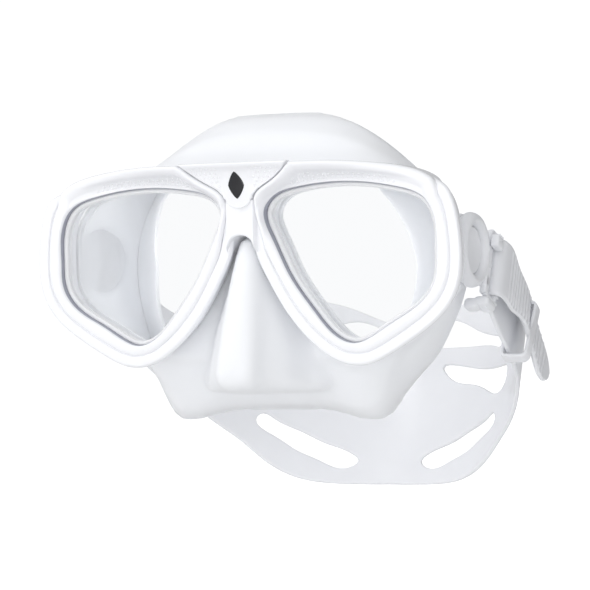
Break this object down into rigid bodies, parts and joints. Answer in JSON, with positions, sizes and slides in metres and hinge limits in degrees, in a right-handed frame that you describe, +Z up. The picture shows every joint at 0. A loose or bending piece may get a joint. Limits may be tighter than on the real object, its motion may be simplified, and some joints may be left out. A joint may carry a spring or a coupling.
{
  "type": "diving mask",
  "caption": "Twin-lens diving mask: soft skirt with nose pocket, rigid rims with a brow hood and hinged centre latch, swivel buckles and a split rubber strap.",
  "frame": {"origin": "middle of the face seal, level with the middle of the lenses, in the plane where the seal meets the temples", "axes": "+X to the wearer's left, -Y out through the lenses in the direction of sight, +Z up"},
  "size_m": [0.1728, 0.1744, 0.141],
  "materials": {
    "skirt_silicone": "satin white liquid silicone",
    "strap_silicone": "glossy white silicone",
    "frame_plastic": "glossy white moulding with dotted brow panels",
    "buckle_plastic": "glossy white",
    "lens_glass": "clear tempered glass",
    "seal_rubber": "matte white",
    "emblem_black": "glossy black",
    "pin_steel": "polished stainless steel"
  },
  "bodies": {
    "mask": {"skirt": "skirt_silicone", "main_frame": "frame_plastic", "latch_pin": "pin_steel", "left_bezel": "frame_plastic", "right_bezel": "frame_plastic", "left_lens": "lens_glass", "right_lens": "lens_glass", "left_lens_gasket": "seal_rubber", "right_lens_gasket": "seal_rubber", "left_pivot_post": "buckle_plastic", "right_pivot_post": "buckle_plastic", "left_pivot_cap": "buckle_plastic", "right_pivot_cap": "buckle_plastic"},
    "latch": {"centre_latch": "frame_plastic", "latch_emblem": "emblem_black"},
    "strap_assembly": {"strap": "strap_silicone", "left_buckle_body": "buckle_plastic", "right_buckle_body": "buckle_plastic"},
    "left_roller": {"left_strap_roller": "buckle_plastic"},
    "left_upper_button": {"left_upper_tab": "buckle_plastic"},
    "left_lower_button": {"left_lower_tab": "buckle_plastic"},
    "left_keeper": {"left_strap_keeper": "strap_silicone"},
    "right_roller": {"right_strap_roller": "buckle_plastic"},
    "right_upper_button": {"right_upper_tab": "buckle_plastic"},
    "right_lower_button": {"right_lower_tab": "buckle_plastic"},
    "right_keeper": {"right_strap_keeper": "strap_silicone"}
  },
  "joints": [
    {"name": "latch_hinge", "type": "hinge", "parent": "mask", "child": "latch", "pos_m": [0, -0.0526, 0.0344], "axis": [-1, 0, 0], "range_deg": [0, 50]},
    {"name": "strap_swing", "type": "hinge", "parent": "mask", "child": "strap_assembly", "pos_m": [0, -0.0205, 0.004], "axis": [1, 0, 0], "range_deg": [-30, 60]},
    {"name": "left_roller_turn", "type": "hinge", "parent": "strap_assembly", "child": "left_roller", "pos_m": [0.079, -0.00183, -0.00317], "axis": [0, 0.3584, 0.9336], "continuous": true},
    {"name": "left_upper_press", "type": "slide", "parent": "strap_assembly", "child": "left_upper_button", "axis": [0, -0.3584, -0.9336], "range_m": [0, 0.0008], "stiffness_N_per_m": 600, "springref_m": -0.002},
    {"name": "left_lower_press", "type": "slide", "parent": "strap_assembly", "child": "left_lower_button", "axis": [0, 0.3584, 0.9336], "range_m": [0, 0.0008], "stiffness_N_per_m": 600, "springref_m": -0.002},
    {"name": "left_keeper_slide", "type": "slide", "parent": "strap_assembly", "child": "left_keeper", "axis": [0, 0.8161, -0.5779], "range_m": [-0.003, 0.004]},
    {"name": "right_roller_turn", "type": "hinge", "parent": "strap_assembly", "child": "right_roller", "pos_m": [-0.079, -0.00183, -0.00317], "axis": [0, 0.3584, 0.9336], "continuous": true},
    {"name": "right_upper_press", "type": "slide", "parent": "strap_assembly", "child": "right_upper_button", "axis": [0, -0.3584, -0.9336], "range_m": [0, 0.0008], "stiffness_N_per_m": 600, "springref_m": -0.002},
    {"name": "right_lower_press", "type": "slide", "parent": "strap_assembly", "child": "right_lower_button", "axis": [0, 0.3584, 0.9336], "range_m": [0, 0.0008], "stiffness_N_per_m": 600, "springref_m": -0.002},
    {"name": "right_keeper_slide", "type": "slide", "parent": "strap_assembly", "child": "right_keeper", "axis": [0, 0.8161, -0.5779], "range_m": [-0.003, 0.004]}
  ]
}
